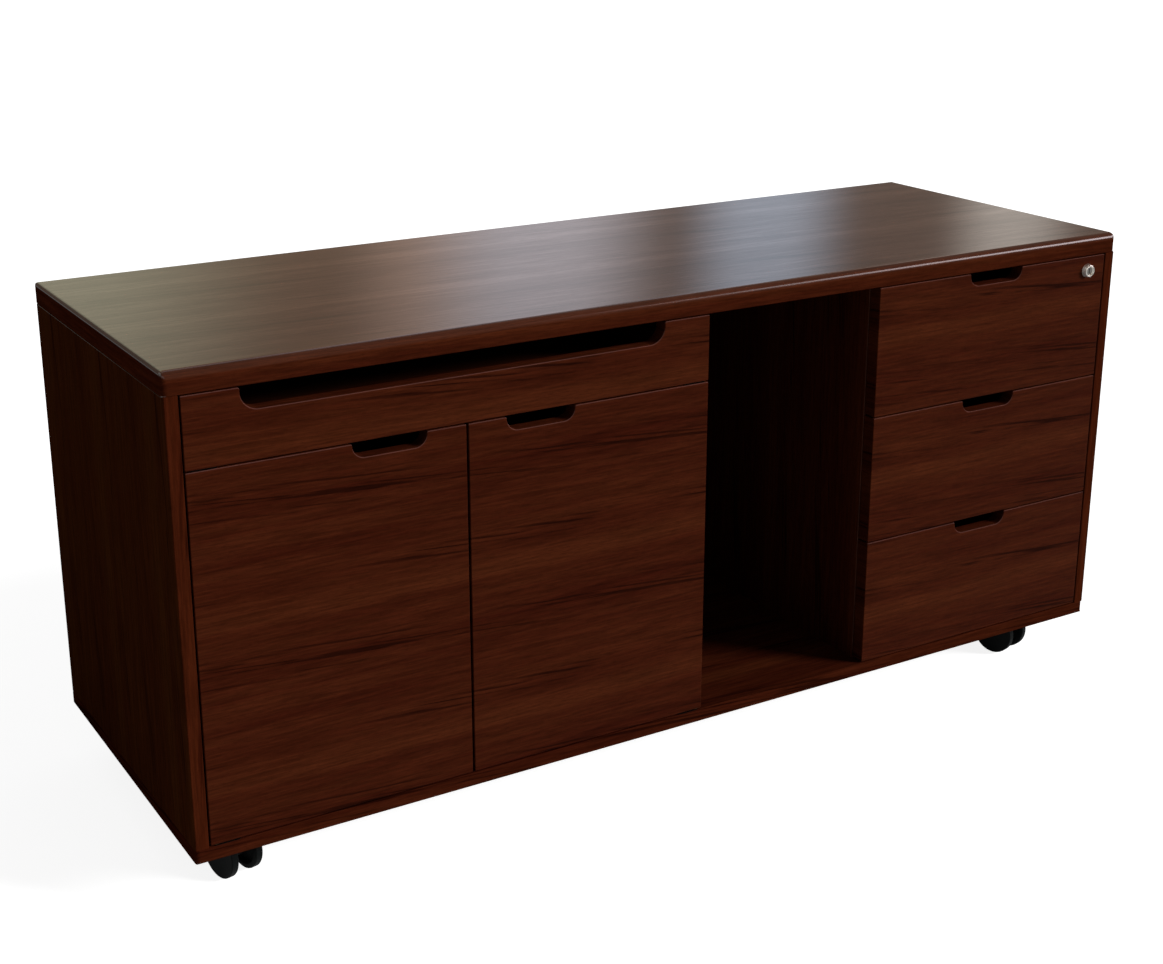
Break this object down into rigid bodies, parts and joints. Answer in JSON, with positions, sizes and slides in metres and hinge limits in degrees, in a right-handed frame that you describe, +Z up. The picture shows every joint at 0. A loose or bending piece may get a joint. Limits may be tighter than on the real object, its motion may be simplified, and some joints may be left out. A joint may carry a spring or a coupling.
{
  "type": "mobile pedestal",
  "caption": "Low wheeled side cabinet: a wide shallow drawer over a pair of doors, an open bay, and a stack of drawers with a lock, on twin-wheel casters.",
  "frame": {"origin": "on the floor, under the middle of the whole outline", "axes": "+X to the right seen from the front, +Y from the front to the back, +Z up"},
  "size_m": [1.44, 0.503, 0.676],
  "materials": {
    "mahogany_veneer": "satin lacquer",
    "mahogany_sides": "satin lacquer",
    "drawer_box_wood": "matt stain",
    "lock_nickel": "polished",
    "caster_nylon": "matt black",
    "caster_wheel_black": "satin black",
    "black_steel": "black enamel",
    "brass_bush": "turned",
    "zinc_steel": "zinc plated"
  },
  "bodies": {
    "case": {"top_panel": "mahogany_veneer", "bottom_panel": "mahogany_veneer", "left_side_panel": "mahogany_sides", "right_side_panel": "mahogany_sides", "left_divider": "mahogany_sides", "right_divider": "mahogany_sides", "back_panel": "mahogany_sides", "fixed_shelf": "mahogany_sides", "loose_shelf": "mahogany_sides", "shelf_pins": "zinc_steel", "slide_rails": "zinc_steel", "pivot_leaves": "black_steel", "door_catch": "caster_nylon", "lock_strike": "zinc_steel", "caster_plates": "black_steel", "kingpins": "zinc_steel", "caster_screws": "zinc_steel"},
    "left_door": {"left_door": "mahogany_veneer", "left_door_bushes": "brass_bush", "left_door_keeper": "zinc_steel"},
    "right_door": {"right_door": "mahogany_veneer", "right_door_bushes": "brass_bush", "right_door_keeper": "zinc_steel"},
    "wide_drawer": {"wide_drawer_front": "mahogany_veneer", "wide_drawer_box": "drawer_box_wood", "wide_drawer_floor": "drawer_box_wood", "wide_drawer_runners": "zinc_steel"},
    "wide_carriers": {"wide_slide_carriers": "zinc_steel"},
    "top_drawer": {"top_drawer_front": "mahogany_veneer", "top_drawer_box": "drawer_box_wood", "top_drawer_floor": "drawer_box_wood", "top_drawer_runners": "zinc_steel", "lock_housing": "lock_nickel", "lock_nut": "zinc_steel"},
    "top_carriers": {"top_slide_carriers": "zinc_steel"},
    "middle_drawer": {"middle_drawer_front": "mahogany_veneer", "middle_drawer_box": "drawer_box_wood", "middle_drawer_floor": "drawer_box_wood", "middle_drawer_runners": "zinc_steel"},
    "middle_carriers": {"middle_slide_carriers": "zinc_steel"},
    "lower_drawer": {"lower_drawer_front": "mahogany_veneer", "lower_drawer_box": "drawer_box_wood", "lower_drawer_floor": "drawer_box_wood", "lower_drawer_runners": "zinc_steel"},
    "lower_carriers": {"lower_slide_carriers": "zinc_steel"},
    "lock_plug": {"lock_plug": "lock_nickel", "lock_cam": "zinc_steel", "lock_cam_screw": "zinc_steel"},
    "front_left_swivel": {"front_left_fork": "caster_nylon"},
    "front_left_wheels": {"front_left_axle": "zinc_steel", "front_left_wheels": "caster_wheel_black"},
    "front_right_swivel": {"front_right_fork": "caster_nylon"},
    "front_right_wheels": {"front_right_axle": "zinc_steel", "front_right_wheels": "caster_wheel_black"},
    "rear_left_swivel": {"rear_left_fork": "caster_nylon"},
    "rear_left_wheels": {"rear_left_axle": "zinc_steel", "rear_left_wheels": "caster_wheel_black"},
    "rear_right_swivel": {"rear_right_fork": "caster_nylon"},
    "rear_right_wheels": {"rear_right_axle": "zinc_steel", "rear_right_wheels": "caster_wheel_black"}
  },
  "joints": [
    {"name": "left_door_hinge", "type": "hinge", "parent": "case", "child": "left_door", "pos_m": [-0.692, -0.2395, 0.327], "axis": [0, 0, -1], "range_deg": [0, 110]},
    {"name": "right_door_hinge", "type": "hinge", "parent": "case", "child": "right_door", "pos_m": [-0.01, -0.2395, 0.327], "axis": [0, 0, 1], "range_deg": [0, 110]},
    {"name": "wide_drawer_slide", "type": "slide", "parent": "case", "child": "wide_drawer", "axis": [0, -1, 0], "range_m": [0, 0.375]},
    {"name": "wide_carrier_slide", "type": "slide", "parent": "case", "child": "wide_carriers", "axis": [0, -1, 0], "range_m": [0, 0.1875]},
    {"name": "top_drawer_slide", "type": "slide", "parent": "case", "child": "top_drawer", "axis": [0, -1, 0], "range_m": [0, 0.375]},
    {"name": "top_carrier_slide", "type": "slide", "parent": "case", "child": "top_carriers", "axis": [0, -1, 0], "range_m": [0, 0.1875]},
    {"name": "middle_drawer_slide", "type": "slide", "parent": "case", "child": "middle_drawer", "axis": [0, -1, 0], "range_m": [0, 0.375]},
    {"name": "middle_carrier_slide", "type": "slide", "parent": "case", "child": "middle_carriers", "axis": [0, -1, 0], "range_m": [0, 0.1875]},
    {"name": "lower_drawer_slide", "type": "slide", "parent": "case", "child": "lower_drawer", "axis": [0, -1, 0], "range_m": [0, 0.375]},
    {"name": "lower_carrier_slide", "type": "slide", "parent": "case", "child": "lower_carriers", "axis": [0, -1, 0], "range_m": [0, 0.1875]},
    {"name": "lock_turn", "type": "hinge", "parent": "top_drawer", "child": "lock_plug", "pos_m": [0.6665, -0.2445, 0.626], "axis": [0, 1, 0], "range_deg": [0, 90]},
    {"name": "front_left_swivel_turn", "type": "hinge", "parent": "case", "child": "front_left_swivel", "pos_m": [-0.64, -0.1745, 0.066], "axis": [0, 0, 1], "continuous": true},
    {"name": "front_left_wheel_roll", "type": "hinge", "parent": "front_left_swivel", "child": "front_left_wheels", "pos_m": [-0.64405, -0.15696, 0.033], "axis": [0.9744, 0.225, 0], "continuous": true},
    {"name": "front_right_swivel_turn", "type": "hinge", "parent": "case", "child": "front_right_swivel", "pos_m": [0.64, -0.1745, 0.066], "axis": [0, 0, 1], "continuous": true},
    {"name": "front_right_wheel_roll", "type": "hinge", "parent": "front_right_swivel", "child": "front_right_wheels", "pos_m": [0.63595, -0.15696, 0.033], "axis": [0.9744, 0.225, 0], "continuous": true},
    {"name": "rear_left_swivel_turn", "type": "hinge", "parent": "case", "child": "rear_left_swivel", "pos_m": [-0.64, 0.1815, 0.066], "axis": [0, 0, 1], "continuous": true},
    {"name": "rear_left_wheel_roll", "type": "hinge", "parent": "rear_left_swivel", "child": "rear_left_wheels", "pos_m": [-0.64405, 0.19904, 0.033], "axis": [0.9744, 0.225, 0], "continuous": true},
    {"name": "rear_right_swivel_turn", "type": "hinge", "parent": "case", "child": "rear_right_swivel", "pos_m": [0.64, 0.1815, 0.066], "axis": [0, 0, 1], "continuous": true},
    {"name": "rear_right_wheel_roll", "type": "hinge", "parent": "rear_right_swivel", "child": "rear_right_wheels", "pos_m": [0.63595, 0.19904, 0.033], "axis": [0.9744, 0.225, 0], "continuous": true}
  ],
  "couplings": [
    {"joint": "wide_carrier_slide", "follows": "wide_drawer_slide", "ratio": 0.5},
    {"joint": "top_carrier_slide", "follows": "top_drawer_slide", "ratio": 0.5},
    {"joint": "middle_carrier_slide", "follows": "middle_drawer_slide", "ratio": 0.5},
    {"joint": "lower_carrier_slide", "follows": "lower_drawer_slide", "ratio": 0.5}
  ]
}
